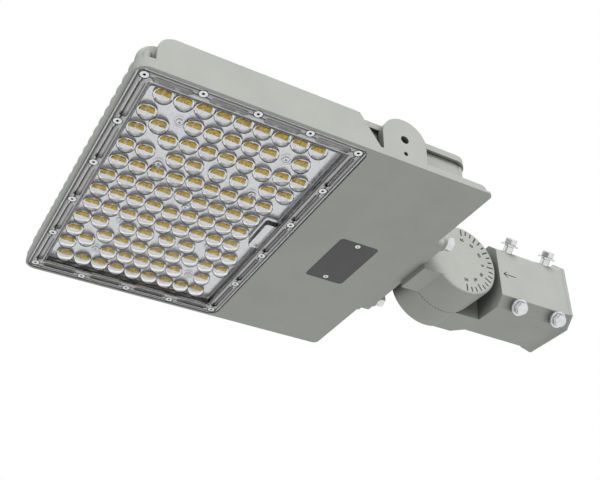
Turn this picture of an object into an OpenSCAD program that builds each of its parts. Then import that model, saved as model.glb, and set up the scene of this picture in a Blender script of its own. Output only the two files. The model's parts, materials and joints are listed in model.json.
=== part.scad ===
// LED street light: a flat head on a graduated knuckle, clamped on a round pole tenon.
// Origin: centre of the tenon socket's mouth. +X points out of the socket, +Z is up.
// The light shines down, along -Z. Lengths are in millimetres.

/* [Lens cover] */
// Screw pitch along the head
screw_pitch_x = 47.3; // [45:0.1:52]
// Screw pitch across the head
screw_pitch_y = 59; // [57:0.5:64]
// Screw line to the cover's edge
cover_edge = 7.5; // [7:0.1:9]
// Corner radius of the cover
cover_r = 10; // [6:0.5:12]
// Diameter of one dome
lens_d = 17; // [14:0.1:17.4]
// Height of one dome
lens_h = 6.8; // [4:0.1:7.5]
// Thickness of the clear sheet
sheet_t = 2.5; // [2.2:0.1:3]
// Thickness of the cover's screwed frame
frame_t = 4.2; // [3.8:0.1:5]
// Width of the cover's screwed frame
frame_w = 15.5; // [14:0.1:16.5]

/* [Housing] */
// Metal in front of the cover
front_rim = 2; // [1.5:0.1:4]
// Metal beside the cover
side_rim = 3; // [2.5:0.1:5]
// Height of the LED tray
tray_h = 10; // [9.5:0.1:12]
// Deck between the fins, above the board
deck_t = 5.2; // [4.5:0.1:7]
// Height of the housing
housing_h = 39.5; // [38:0.5:44]
// Height of the side walls
wall_h = 37.4; // [34:0.1:38]
// Height of the fins
fin_h = 36.4; // [30:0.1:37]
// Number of channels between the fins
channels = 21; // [16:1:24]
// Thickness of a fin
fin_t = 2.4; // [2:0.1:3.5]
// Gap between the side wall and the outer fin
fin_gap = 5.5; // [4:0.1:7]
// Gap between the side wall and the driver box
side_gap = 7.5; // [7:0.1:9]
// Depth of the scallops round the front
scallop = 3.5; // [1:0.1:4]
// Radius of the front's upper edge
nose_r = 15.5; // [10:0.5:17]
// Corner radius of the tray
corner_r = 12; // [8:0.5:14]
// Thickness of the side walls
side_wall = 4; // [3:0.1:5]
// Height of the rear slab
slab_h = 7; // [6.5:0.1:8.5]
// Thickness of the underside skirt
skirt_t = 2.5; // [2:0.1:4]

/* [Driver box] */
// Length of the box along the head
bay_l = 116; // [112:0.5:122]
// Metal behind the box
tail_l = 21.5; // [20:0.5:40]
// Wall of the box
bay_wall = 3.2; // [2.6:0.1:4]
// Corner radius of the box
bay_r = 12; // [10:0.5:14]
// Thickness of the lid
lid_t = 2.5; // [2:0.1:3.5]
// Height of the lid's rim
lid_rim_h = 6.5; // [5:0.1:8]
// Overhang of the lid over the box
lid_over = 3.5; // [3:0.1:4.5]
// Height of the driver
driver_h = 23; // [16:0.5:24]
// Length of the driver across the head
driver_l = 226; // [160:1:250]
// Width of the driver along the head
driver_w = 40; // [30:0.5:42]

/* [Ears] */
// Radius of the yoke ears
ear_r = 22.4; // [18:0.1:24]
// Height of the yoke hole
ear_z = 25.2; // [22:0.1:29]
// Radius of the threaded yoke hole
ear_hole_r = 4; // [2.5:0.1:5]
// Radius of the locking hole
ear_lock_r = 2.1; // [1.5:0.1:3]
// Locking hole below the yoke hole
ear_lock_drop = 15.6; // [12:0.1:16]

/* [Access cover] */
// Length of the cover along the head
access_l = 41.4; // [38:0.1:46]
// Width of the cover across the head
access_w = 71; // [64:0.5:80]
// Thickness of the cover
access_t = 1.6; // [1.2:0.1:1.8]

/* [Knuckle] */
// Drum above the tube
drum_proud = 2.8; // [1:0.1:4]
// Width of the knuckle
knuckle_w = 74.6; // [72:0.2:84]
// Seam of the knuckle from the middle plane
seam_y = 3; // [0:0.5:4]
// Flange face to the drum
drum_gap = 10; // [8:0.5:20]
// Width of the flange
flange_w = 140; // [138:1:150]
// Height of the flange
flange_h = 32; // [30:0.5:33]
// Thickness of the flange
flange_t = 7.6; // [6:0.1:10]
// Flange bolts from the flange's ends
flange_bolt_edge = 9; // [9:0.5:12]
// Depth of the arm's foot below the pivot
arm_drop = 26.5; // [22:0.1:28]
// Number of serrations round the seam
serrations = 72; // [36:12:72]

/* [Slip fitter] */
// Width of the tube
tube_w = 74.6; // [73:0.2:84]
// Height of the tube
tube_h = 75.4; // [73:0.2:80]
// Size of the tube's corner bevels
tube_bevel = 10; // [8:0.5:12]
// Length of the tube
tube_l = 92; // [88:0.5:120]
// Radius of the tenon socket
socket_r = 31; // [30:0.1:32]
// Thickness of the tube's closed end
tube_end = 6.5; // [5:0.1:9]
// Lip round the mouth
lip = 3.5; // [2:0.1:5]
// Radius of the set bolts
set_r = 5; // [4:0.1:6]
// Pitch of the set bolts along the tube
set_pitch = 51.3; // [42:0.1:54]
// Travel of the set bolts
set_travel = 7.5; // [6:0.1:12]

/* [Hidden] */
$fn = 64;

// Overrun of every cut
over = 1;
// Gap round pieces that drop into a seat
seat_gap = 0.3;
// Gap round a screw in its thread
thread_gap = 0.02;
// Gap round a shank or wire that passes through
run_gap = 0.05;
// Gap between the two halves of the knuckle
seam_gap = 0.1;
// Play of a screw in a clearance hole
clear_gap = 0.3;
// Gap between the lens cover and its gasket
seal_gap = 0.05;

// Paint and material colours
paint = [0.72, 0.735, 0.71];
steel = [0.82, 0.83, 0.85];
black = [0.09, 0.09, 0.1];
dark_grey = [0.36, 0.36, 0.35];
clear = [0.85, 0.88, 0.9, 0.5];

// Lens cover, with its levels measured up from the underside
screw_cols = 5;
screw_rows = 6;
screw_bow = 2.4;
cover_z = 0.8;
gasket_t = 1.2;
board_t = 1.6;
board_gap = 0.4;
sheet_step = 1.3;
sheet_wall = 2;
lens_screw_r = 2;
cover_l = (screw_cols - 1) * screw_pitch_x + 2 * cover_edge;
cover_w = (screw_rows - 1) * screw_pitch_y + 2 * cover_edge;
cover_x = front_rim;
cover_end = cover_x + cover_l;
frame_top = cover_z + frame_t;
sheet_z = frame_top + sheet_step;
sheet_top = sheet_z + sheet_t;
seat_z = frame_top + gasket_t;
board_z = sheet_top + board_gap;
pocket_z = board_z + board_t;
sheet_inset = cover_edge + lens_screw_r + sheet_wall;
sheet_r = 3;
trough_w = 6.5;
trough_d = 2.4;
trough_gap = 7;
trough_shift = 1.2;
post_r = 4.3;
post_h = 0.9;
hump_l = 12;
hump_w = 40;
hump_r = 2.5;

// Domes, one row at a time from the middle out: shares of the dome pitch and of the row pitch
dome_pitch_share = 0.3679;
dome_row_share = 0.393;
first_dome_share = 0.86;
lens_pitch = dome_pitch_share * screw_pitch_x;
row_pitch = dome_row_share * screw_pitch_y;
lens_x = cover_x + frame_w + first_dome_share * lens_pitch;
row_1_shares = [[-0.3, 0], [0.7, 0], [1.7, 0], [2.7, 0], [3.7, 0.15], [4.7, 0], [5.7, 0], [6.7, 0],
    [7.7, 0]];
row_2_shares = [[-0.2, 0], [0.8, 0], [1.8, 0], [2.8, 0], [3.8, 0.12], [4.76, 0], [5.76, 0], [6.78, 0],
    [7.78, 0]];
row_3_shares = [[-0.3, 0], [0.67, 0], [2.24, 0], [3.23, 0], [4.5, 0], [5.68, 0], [7.32, 0], [8.3, 0]];
row_4_shares = [[-0.3, 0], [1.37, -0.13], [2.38, 0], [3.4, 0], [4.4, 0], [5.4, 0], [6.4, -0.13],
    [7.42, 0], [8.4, 0]];
row_5_shares = [[-0.28, 0], [0.57, -0.5], [2.06, 0], [3.05, 0], [4.05, 0], [5.04, 0], [6.03, 0],
    [7.78, 0]];
row_6_shares = [for (i = [0:8]) [i, 0]];
row_shares = [row_1_shares, row_2_shares, row_3_shares, row_4_shares, row_5_shares, row_6_shares];
lens_places = [for (side = [-1, 1]) for (row = [0:len(row_shares) - 1]) for (s = row_shares[row])
    [lens_x + s[0] * lens_pitch, side * (row + 0.5 + s[1]) * row_pitch]];
// Posts over the board's screws
post_shares = [[1.33, -4.5], [6.95, -4.5], [4.2, 0], [1.33, 4.5], [6.95, 4.5], [1.6, -2.02],
    [6.72, -2.02], [1.6, 2.02], [6.72, 2.02]];
post_places = [for (s = post_shares) [lens_x + s[0] * lens_pitch, s[1] * row_pitch]];
cavity_share = 0.27;
cavity_d = 1.2;
cavity_r = cavity_share * lens_d;
cavity_ball_r = (pow(cavity_r, 2) + pow(cavity_d, 2)) / (2 * cavity_d);

// Lens cover screws
lens_screw_head_r = 3.6;
lens_screw_head_h = 1.9;
lens_screw_l = 7.5;
lens_socket_r = 1.35;
lens_socket_d = 2.2;
lens_seat_r = 4.4;
tip_gap = 0.8;
first_x = front_rim + cover_edge;
last_x = first_x + (screw_cols - 1) * screw_pitch_x;
side_y = (screw_rows - 1) * screw_pitch_y / 2;
side_screws = [for (i = [0:screw_cols - 1]) for (s = [-1, 1])
    [first_x + i * screw_pitch_x, s * (side_y + (i == 0 || i == screw_cols - 1 ? 0 : screw_bow))]];
end_screws = [for (j = [1:screw_rows - 2]) for (x = [first_x, last_x]) [x, -side_y + j * screw_pitch_y]];
screw_places = concat(side_screws, end_screws);

// Board, its chips and its screws
chip_w = 3.5;
chip_t = 0.6;
chip_spread = 2;
board_screw_r = 1.5;
board_screw_head_r = 2.8;
board_screw_head_h = 1.5;
board_screw_l = 4.6;
board_socket_r = 1.2;
board_socket_d = 0.8;
head_room = 0.3;

// Housing
bay_lap = 8;
tray_end = cover_end + seat_gap + bay_wall;
deck_z = pocket_z + deck_t;
bay_x = cover_end - bay_lap;
bay_end = bay_x + bay_l;
head_l = bay_end + tail_l;
head_w = cover_w + 2 * side_rim;
fin_w = head_w - 2 * (side_wall + fin_gap);
fin_pitch = fin_w / channels;
scallop_r = (pow(fin_pitch / 2, 2) + pow(scallop, 2)) / (2 * scallop);
valley_flat = 0.15;
fin_setback = 2.2;
crest_x = fin_setback + nose_r;
nose_wall = 3;
slab_r = 15;
skirt_r = 6;
slab_setback = 2.2;
wall_front = 4.5;
wall_rear = 16.8;
wall_x = first_x + wall_front;
wall_slope = 56.5;
wall_end = bay_x + wall_rear;
wall_top_r = 6;
wall_front_r = 15;
boss_r = 3.8;
corner_boss_h = 22.5;
boss_h = 13;

// Driver box, with its levels measured up from the underside
lid_gap = 0.3;
rim_gap = 0.8;
lid_r = 9;
lid_rear_r = bay_r + lid_over;
bay_front_r = lid_r - lid_over;
bay_top = housing_h - lid_t - gasket_t;
step_z = housing_h - lid_rim_h - lid_gap;
bay_w = head_w - 2 * (side_wall + side_gap);
bay_floor = slab_h - bay_wall;
bay_deck = seat_z + bay_wall;
bay_step = tray_end + rim_gap;
lid_screw_r = 2;
lid_screw_head_r = 3.8;
lid_screw_head_h = 2.4;
lid_screw_l = 12;
lid_socket_r = 1.8;
lid_socket_d = 1.3;
lid_boss_r = 4.8;
lid_boss_y = bay_w / 2 - bay_wall - lid_boss_r / 2;
lid_boss_x = [bay_x + bay_wall + lid_boss_r / 2, (bay_x + bay_end) / 2, bay_end - bay_wall - lid_boss_r / 2];
panel_h = 1.2;
panel_edge = 14;
panel_r = 8;

// Ears
ear_x_share = 0.3629;
ear_x = bay_x + ear_x_share * bay_l;
ear_gap = 0.4;
ear_t = side_wall + side_gap - lid_over - ear_gap;
ear_y = head_w / 2;

// Access cover
access_x_share = 0.3681;
access_x = bay_end - access_x_share * bay_l;
access_r = 4;
access_lap_x = 6;
access_lap_y = 9.5;
access_gasket_t = 0.6;
access_screw_edge = 5.2;
access_screw_r = 1.5;
access_screw_head_r = 2.7;
access_screw_head_h = 1;
access_screw_l = 4.4;
access_socket_r = 1;
access_socket_d = 0.6;
access_screw_y = access_w / 2 - access_screw_edge;

// Pieces inside the driver box
driver_gap = 1.5;
driver_x = bay_step + driver_gap;
driver_foot_l = 14;
driver_foot_t = 3;
driver_pad_r = 6;
driver_pad_h = 3;
driver_screw_r = 2;
driver_screw_head_r = 3.6;
driver_screw_head_h = 2;
driver_screw_l = 8;
driver_edge_r = 2;
driver_screw_y = driver_l / 2 - driver_foot_l / 2;
driver_hole_inset = 9;
connector_l = 6;
connector_w = 9;
connector_x = cover_end - sheet_inset - 2 * connector_l;
grommet_r = 3.2;
grommet_lip = 1.2;
lead_r = 0.9;
lead_y = 1.5;
lead_z = bay_deck + grommet_r + grommet_lip + lid_gap;
lead_pad_w = 16;
connector_h = lead_z + lead_r + grommet_lip - pocket_z;
surge_l = 26;
surge_w = 50;
surge_h = 18;
surge_r = 3;
surge_y_share = 0.29;
block_l = 22;
block_w = 34;
block_h = 15;
block_pole_r = 3;
block_pole_d = 6;
block_y_share = 0.22;
rear_row_x = bay_end - bay_wall - surge_l / 2 - driver_gap;

// Knuckle: flange, arm and drum
head_z = -21.2;
flange_z = 0.5;
flange_r = 6;
flange_bolt_pitch = flange_w - 2 * flange_bolt_edge;
arm_gasket_t = 1.8;
supply_r = 7;
duct_z = flange_z + flange_h / 2;
bolt_drop = 3;
bolt_z = duct_z - bolt_drop;
half_w = knuckle_w / 2;
supply_y = (seam_y - half_w) / 2;
drum_r = tube_h / 2 + drum_proud;
neck_l = 5;
neck_bevel_l = 12;
pivot_reach = drum_r + drum_gap;
pivot_x = -(tube_l + neck_l + drum_r);
head_x = pivot_x - pivot_reach - flange_t - arm_gasket_t - head_l;
near_face = -half_w;
near_seam = seam_y - seam_gap / 2;
far_seam = seam_y + seam_gap / 2;
drum_edge_r = 3;
near_wall = 7;
far_wall = 12;
hub_r = 12;
drum_wall = 10.5;
drum_hollow_r = drum_r - drum_wall;
serration_d = 0.7;
serration_w = 1.7;
serration_l = 7;
dial_ticks = 18;
tick_step = 10;
tick_d = 0.5;
tick_w = 1.5;
tick_long = 8;
tick_short = 5.4;
tick_edge = 0.5;
tick_out_r = drum_r - drum_edge_r - tick_edge;
bolt_wall = 9;
rib_t = 5;

// Flange bolts
bolt_r = 4;
bolt_head_af = 13;
bolt_head_h = 5.5;
bolt_l = 34;
bolt_boss_r = 9;
bolt_boss_h = 5.6;
bolt_tower_l = 22;
washer_t = 1.6;
washer_r = 8;
spring_t = 2.2;
spring_r = 6.9;
spring_slit = 1.2;

// Pivot bolt
pivot_r = 6;
pivot_head_af = 18;
pivot_head_h = 7.5;
pivot_washer_r = 12;
pivot_washer_t = 2.5;
pivot_spring_r = 10.5;
pivot_spring_t = 3;
pivot_recess = 6;
pivot_tip_wall = 6;

// Slip fitter
lip_t = 2.5;
lip_face = 0.1;
lip_run = 7.5;
lip_shares = [[1, 0], [0.5, 0.24], [0.16, 0.64], [0, 1]];
lip_steps = [for (s = lip_shares) [-lip_t - s[0] * lip_run, s[1] * lip]];
duct_r = 9;
set_first = 21.2;
set_head_af = 12;
set_head_h = 6.2;
set_collar_r = 9;
set_chamfer = 1.3;
set_collar_t = 1.6;
set_tip_gap = 0.3;
bevel_reach = (tube_w / 2 + tube_h / 2 - tube_bevel) * sin(45);
set_foot = bevel_reach + set_travel + run_gap;
set_places = [[-set_first - set_pitch, 45], [-set_first, 45], [-set_first - set_pitch, 135],
    [-set_first, 135]];
arrow_d = 0.5;
arrow_w = 1;
arrow_l = 16;
arrow_head_l = 6;
arrow_inset = 6;
arrow_drop = 1.2;
arrow_angle = 35;

function unit(v) = v / norm(v);
function box_points(x0, x1, y0, y1) = [[x0, y0], [x1, y0], [x1, y1], [x0, y1]];
function hex_r(af) = af / sqrt(3);
function channel_y(i) = (i - (channels - 1) / 2) * fin_pitch;

// The sliver outside a round corner at p, between two edges that leave along a and b
module corner_waste(p, a, b, r) {
    half = acos(a * b) / 2;
    t = r / tan(half);
    c = p + unit(a + b) * r / sin(half);
    difference() {
        polygon([p, p + a * t, c, p + b * t]);
        translate(c) circle(r);
    }
}

// A convex outline whose corners are round
module round_outline(points, radii) {
    n = len(points);
    difference() {
        polygon(points);
        for (i = [0:n - 1])
            if (radii[i] > 0)
                corner_waste(points[i], unit(points[(i + n - 1) % n] - points[i]),
                    unit(points[(i + 1) % n] - points[i]), radii[i]);
    }
}

// A rectangle in the head's plan, with front and rear corner radii
module plan(x0, x1, w, front_r, rear_r) {
    round_outline(box_points(x0, x1, -w / 2, w / 2), [front_r, rear_r, rear_r, front_r]);
}

// The lens cover's outline, grown or shrunk all round
module cover_plan(grow, r) {
    plan(cover_x - grow, cover_end + grow, cover_w + 2 * grow, r, r);
}

module access_plan(grow_x, grow_y) {
    translate([access_x, 0])
        plan(-access_l / 2 - grow_x, access_l / 2 + grow_x, access_w + 2 * grow_y, access_r, access_r);
}

// Shapes drawn in X and Z, spread along Y
module along_y(y0, y1) {
    translate([0, y1, 0]) rotate([90, 0, 0]) linear_extrude(y1 - y0) children();
}

// Shapes drawn in Y and Z, spread along X
module along_x(x0, x1) {
    translate([x0, 0, 0]) rotate([90, 0, 90]) linear_extrude(x1 - x0) children();
}

module rod_y(r, y0, y1) {
    translate([0, y0, 0]) rotate([-90, 0, 0]) cylinder(r = r, h = y1 - y0);
}

module rod_x(r, x0, x1) {
    translate([x0, 0, 0]) rotate([0, 90, 0]) cylinder(r = r, h = x1 - x0);
}

module on_head() {
    translate([head_x, 0, head_z]) children();
}

module at_pivot() {
    translate([pivot_x, 0, 0]) children();
}

module both_sides() {
    children();
    mirror([0, 1, 0]) children();
}

// A pan head screw that points up, its head's face down at z = 0
module pan_screw(r, l, head_r, head_h, socket_r, socket_d) {
    difference() {
        union() {
            cylinder(r = head_r, h = head_h);
            cylinder(r = r, h = head_h + l);
        }
        translate([0, 0, -over]) cylinder(r = socket_r, h = socket_d + over, $fn = 6);
    }
}

// A flat ring round X, from x = 0
module ring_x(inner_r, outer_r, t) {
    difference() {
        rod_x(outer_r, 0, t);
        rod_x(inner_r, -over, t + over);
    }
}

// Front of the fins: one round bulge for each channel, with its crest at x = 0 and small flats between
module fin_plan(l) {
    valley = scallop - valley_flat;
    translate([valley, -fin_w / 2]) square([l - valley, fin_w]);
    for (i = [0:channels - 1])
        translate([0, channel_y(i)]) intersection() {
            translate([scallop_r, 0]) circle(scallop_r);
            translate([0, -fin_pitch / 2]) square([scallop - valley_flat / 2, fin_pitch]);
        }
}

module fin_slot(x0, x1, r) {
    linear_extrude(housing_h) {
        translate([x0, -r]) square([x1 - x0, 2 * r]);
        translate([x0, 0]) circle(r);
        translate([x1, 0]) circle(r);
    }
}

// Fins behind a front whose scallops run up, round its upper edge and over its top
module fin_block() {
    fin_l = bay_x + bay_wall - crest_x;
    slot_r = (fin_pitch - fin_t) / 2;
    difference() {
        union() {
            translate([fin_setback, 0, 0]) linear_extrude(fin_h - nose_r) fin_plan(nose_r);
            translate([crest_x, 0, fin_h - nose_r]) rotate([90, 0, 0]) rotate([0, 0, 90])
                rotate_extrude(angle = 90) translate([nose_r, 0]) mirror([1, 0]) fin_plan(nose_r);
            translate([crest_x, -fin_w / 2, 0]) cube([fin_l, fin_w, fin_h - scallop]);
        }
        for (i = [0:channels - 1])
            translate([0, channel_y(i), deck_z])
                fin_slot(crest_x + nose_wall + slot_r, bay_x - nose_wall - slot_r, slot_r);
        translate([bay_x - lid_over - lid_gap, -head_w / 2, step_z]) cube([bay_l, head_w, housing_h]);
    }
    translate([connector_x - over - bay_wall, -lead_pad_w / 2, pocket_z])
        cube([bay_x - connector_x + over + bay_wall, lead_pad_w, connector_h + bay_wall]);
}

// Tall side wall, round at the front and sloped at the rear
module side_profile() {
    run = (wall_h - slab_h) / tan(wall_slope);
    round_outline([[wall_x, 0], [wall_end, 0], [wall_end, slab_h], [wall_end - run, wall_h], [wall_x, wall_h]],
        [0, 0, 0, wall_top_r, wall_front_r]);
}

module ear_profile() {
    translate([ear_x, ear_z]) circle(ear_r);
    translate([ear_x - ear_r, 0]) square([2 * ear_r, ear_z]);
}

module lid_bosses(z, h, r) {
    for (x = lid_boss_x) for (s = [-1, 1])
        translate([x, s * lid_boss_y, z]) cylinder(r = r, h = h);
}

module bay_hollow() {
    difference() {
        union() {
            translate([0, 0, bay_floor]) linear_extrude(housing_h)
                plan(bay_step, bay_end - bay_wall, bay_w - 2 * bay_wall, 0, bay_r - bay_wall);
            translate([bay_x + bay_wall, bay_wall - bay_w / 2, bay_deck])
                cube([bay_step - bay_x, bay_w - 2 * bay_wall, housing_h]);
        }
        lid_bosses(0, housing_h, lid_boss_r);
        driver_pads();
    }
}

module driver_pads() {
    for (s = [-1, 1]) for (x = [driver_hole_inset, driver_w - driver_hole_inset])
        translate([driver_x + x, s * driver_screw_y, 0]) cylinder(r = driver_pad_r, h = bay_floor + driver_pad_h);
}

// Wall, ribs and duct behind the box, which the knuckle's flange bolts to
module tail_mount() {
    tail_z = flange_z + flange_h;
    rib_x = bay_end - bay_wall;
    along_x(head_l - bolt_wall, head_l)
        round_outline(box_points(-flange_w / 2, flange_w / 2, 0, tail_z), [0, 0, flange_r, flange_r]);
    for (y = [-flange_w / 2, -flange_w / 4, flange_w / 4 - rib_t, flange_w / 2 - rib_t])
        translate([rib_x, y, 0]) cube([head_l - rib_x - bolt_wall / 2, rib_t, tail_z - flange_r]);
    translate([0, supply_y, duct_z]) rod_x(supply_r + bay_wall, rib_x, head_l);
    translate([rib_x, supply_y - supply_r - bay_wall, 0])
        cube([head_l - rib_x, 2 * (supply_r + bay_wall), duct_z]);
    for (s = [-1, 1])
        translate([0, s * flange_bolt_pitch / 2, bolt_z]) rod_x(bolt_boss_r, head_l - bolt_tower_l, head_l);
}

module ear_holes() {
    for (s = [-1, 1]) translate([ear_x, s * (ear_y - ear_t / 2), 0]) {
        translate([0, 0, ear_z]) rod_y(ear_hole_r, -ear_t / 2 - over, ear_t / 2 + over);
        translate([0, 0, ear_z - ear_lock_drop]) rod_y(ear_lock_r, -ear_t / 2 - over, ear_t / 2 + over);
    }
}

module heatsink_housing() color(paint) on_head() difference() {
    bolt_depth = bolt_l - bolt_boss_h - flange_t - arm_gasket_t - washer_t - spring_t + tip_gap;
    union() {
        linear_extrude(tray_h) plan(0, tray_end, head_w, corner_r, 0);
        linear_extrude(slab_h) plan(bay_x, head_l - slab_setback, head_w, 0, slab_r);
        linear_extrude(skirt_t) plan(bay_x, head_l - slab_setback, head_w, 0, skirt_r);
        linear_extrude(bay_top) plan(bay_x, bay_end, bay_w, bay_front_r, bay_r);
        lid_bosses(bay_floor, step_z - lid_gap - bay_floor, lid_boss_r);
        fin_block();
        tail_mount();
        both_sides() along_y(head_w / 2 - side_wall, head_w / 2) side_profile();
        both_sides() along_y(ear_y - ear_t, ear_y) ear_profile();
        for (i = [0:len(side_screws) - 1])
            translate([side_screws[i][0], side_screws[i][1], pocket_z])
                cylinder(r = boss_r, h = (i < 2 ? corner_boss_h : boss_h) - pocket_z);
    }
    // Seat of the cover, pocket of the board and window of its connector
    translate([0, 0, -over]) linear_extrude(seat_z + over) cover_plan(seat_gap, cover_r);
    translate([0, 0, -over]) linear_extrude(pocket_z + over) cover_plan(seat_gap - sheet_inset, sheet_r);
    translate([connector_x - over, -connector_w / 2 - over, pocket_z - over])
        cube([connector_l + 2 * over, connector_w + 2 * over, connector_h + over + head_room]);
    bay_hollow();
    for (p = screw_places)
        translate([p[0], p[1], seat_z - over])
            cylinder(r = lens_screw_r + thread_gap,
                h = cover_z + lens_screw_head_h + lens_screw_l + tip_gap - seat_z + over);
    for (p = post_places)
        translate([p[0], p[1], pocket_z - over])
            cylinder(r = board_screw_r + thread_gap, h = board_z + board_screw_l + tip_gap - pocket_z + over);
    lid_bosses(bay_top - lid_screw_l, lid_screw_l + over, lid_screw_r + thread_gap);
    for (s = [-1, 1]) for (x = [driver_hole_inset, driver_w - driver_hole_inset])
        translate([driver_x + x, s * driver_screw_y, bay_floor + driver_pad_h + driver_foot_t - driver_screw_l])
            cylinder(r = driver_screw_r + thread_gap, h = driver_screw_l);
    // Lead passage, supply duct and flange bolt threads
    translate([0, 0, lead_z]) rod_x(grommet_r, connector_x + connector_l, bay_x + bay_wall + over);
    translate([0, supply_y, duct_z]) rod_x(supply_r, bay_end - 2 * bay_wall, head_l + over);
    for (s = [-1, 1])
        translate([0, s * flange_bolt_pitch / 2, bolt_z])
            rod_x(bolt_r + thread_gap, head_l - bolt_depth, head_l + over);
    ear_holes();
    // Recess, window and screw holes of the access cover
    translate([0, 0, -over]) linear_extrude(access_t + access_gasket_t + over)
        access_plan(seat_gap, seat_gap);
    translate([0, 0, -over]) linear_extrude(slab_h + over) access_plan(-access_lap_x, -access_lap_y);
    for (s = [-1, 1])
        translate([access_x, s * access_screw_y, access_t])
            cylinder(r = access_screw_r + thread_gap, h = access_screw_l);
}

module driver_lid() color(paint) on_head() difference() {
    lid_w = bay_w + 2 * lid_over;
    rim_t = lid_over - rim_gap;
    union() {
        translate([0, 0, housing_h - lid_rim_h]) linear_extrude(lid_rim_h)
            plan(bay_x - lid_over, bay_end + lid_over, lid_w, lid_r, lid_rear_r);
        translate([0, 0, housing_h - over]) linear_extrude(panel_h + over)
            plan(bay_x + panel_edge, bay_end - panel_edge, bay_w - 2 * panel_edge, panel_r, panel_r);
    }
    translate([0, 0, housing_h - lid_rim_h - over]) linear_extrude(lid_rim_h - lid_t + over)
        plan(bay_x - rim_gap, bay_end + rim_gap, lid_w - 2 * rim_t, lid_r - rim_t, lid_rear_r - rim_t);
    lid_bosses(housing_h - lid_t - over, lid_t + 2 * over, lid_screw_r + clear_gap);
}

module lid_gasket() color(black) on_head() translate([0, 0, bay_top]) difference() {
    linear_extrude(gasket_t) plan(bay_x, bay_end, bay_w, bay_front_r, bay_r);
    difference() {
        translate([0, 0, -over]) linear_extrude(gasket_t + 2 * over)
            plan(bay_x + bay_wall, bay_end - bay_wall, bay_w - 2 * bay_wall, 0, bay_r - bay_wall);
        lid_bosses(-2 * over, gasket_t + 4 * over, lid_boss_r);
    }
    lid_bosses(-over, gasket_t + 2 * over, lid_screw_r + clear_gap);
}

module lid_screws() color(steel) on_head()
    for (x = lid_boss_x) for (s = [-1, 1])
        translate([x, s * lid_boss_y, housing_h + lid_screw_head_h]) rotate([180, 0, 0])
            pan_screw(lid_screw_r, lid_screw_l + lid_t - tip_gap, lid_screw_head_r, lid_screw_head_h, lid_socket_r,
                lid_socket_d);

// A trough between two screws: l long and as wide as its name says, with round ends
module trough(l) {
    translate([0, 0, -over]) linear_extrude(trough_d + over) {
        translate([-l / 2 + trough_w / 2, -trough_w / 2]) square([l - trough_w, trough_w]);
        for (s = [-1, 1]) translate([s * (l - trough_w) / 2, 0]) circle(trough_w / 2);
    }
}

module troughs() {
    for (i = [0:screw_cols - 2]) for (s = [-1, 1])
        translate([first_x + (i + 0.5) * screw_pitch_x, s * (side_y - trough_shift), cover_z])
            trough(screw_pitch_x - 2 * trough_gap);
    for (j = [0:screw_rows - 2]) for (x = [first_x + trough_shift, last_x - trough_shift])
        translate([x, -side_y + (j + 0.5) * screw_pitch_y, cover_z]) rotate([0, 0, 90])
            trough(screw_pitch_y - 2 * trough_gap);
}

// A dome below the sheet, cut from a ball
module dome() {
    ball_r = (pow(lens_d / 2, 2) + pow(lens_h, 2)) / (2 * lens_h);
    intersection() {
        translate([0, 0, sheet_z - lens_h + ball_r]) sphere(ball_r);
        translate([0, 0, sheet_z - lens_h]) cylinder(r = lens_d, h = lens_h + sheet_t / 2);
    }
}

module lens_plate() color(clear) on_head() difference() {
    union() {
        translate([0, 0, cover_z]) linear_extrude(frame_t) difference() {
            cover_plan(0, cover_r);
            cover_plan(-frame_w, sheet_r);
        }
        translate([0, 0, frame_top - over]) linear_extrude(sheet_top - frame_top) difference() {
            cover_plan(-sheet_inset, sheet_r);
            cover_plan(-frame_w, sheet_r);
        }
        translate([0, 0, sheet_z]) linear_extrude(sheet_t) cover_plan(-sheet_inset, sheet_r);
        for (p = lens_places) translate([p[0], p[1], 0]) dome();
        for (p = post_places) translate([p[0], p[1], sheet_z - post_h]) cylinder(r = post_r, h = sheet_t);
        translate([0, 0, cover_z]) linear_extrude(sheet_top - cover_z)
            plan(cover_end - frame_w - hump_l, cover_end - frame_w + over, hump_w, hump_r, 0);
    }
    for (p = lens_places) translate([p[0], p[1], sheet_top + cavity_ball_r - cavity_d]) sphere(cavity_ball_r);
    for (p = post_places)
        translate([p[0], p[1], board_z - board_screw_head_h - head_room])
            cylinder(r = board_screw_head_r + head_room, h = sheet_t);
    for (p = screw_places) translate([p[0], p[1], 0]) {
        cylinder(r = lens_seat_r, h = cover_z + lens_screw_head_h);
        cylinder(r = lens_screw_r + clear_gap, h = sheet_top + over);
    }
    troughs();
}

module lens_gasket() color(black) on_head() translate([0, 0, frame_top + seal_gap]) difference() {
    linear_extrude(gasket_t - seal_gap) cover_plan(0, cover_r);
    translate([0, 0, -over]) linear_extrude(gasket_t + 2 * over) cover_plan(seat_gap - sheet_inset, sheet_r);
    for (p = screw_places)
        translate([p[0], p[1], -over]) cylinder(r = lens_screw_r + clear_gap, h = gasket_t + 2 * over);
}

module lens_screws() color(steel) on_head()
    for (p = screw_places) translate([p[0], p[1], cover_z])
        pan_screw(lens_screw_r, lens_screw_l, lens_screw_head_r, lens_screw_head_h, lens_socket_r, lens_socket_d);

module led_board() color([0.86, 0.87, 0.89]) on_head() difference() {
    translate([0, 0, board_z]) linear_extrude(board_t) cover_plan(-sheet_inset, sheet_r);
    for (p = post_places)
        translate([p[0], p[1], board_z - over])
            cylinder(r = board_screw_r + clear_gap, h = board_t + 2 * over);
}

module led_chips() color([0.86, 0.68, 0.16]) on_head()
    for (p = lens_places) for (s = [-1, 1])
        translate([p[0] + s * chip_spread - chip_w / 2, p[1] - chip_w / 2, board_z - chip_t])
            cube([chip_w, chip_w, chip_t]);

module board_screws() color(steel) on_head()
    for (p = post_places) translate([p[0], p[1], board_z - board_screw_head_h])
        pan_screw(board_screw_r, board_screw_l, board_screw_head_r, board_screw_head_h, board_socket_r,
            board_socket_d);

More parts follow.
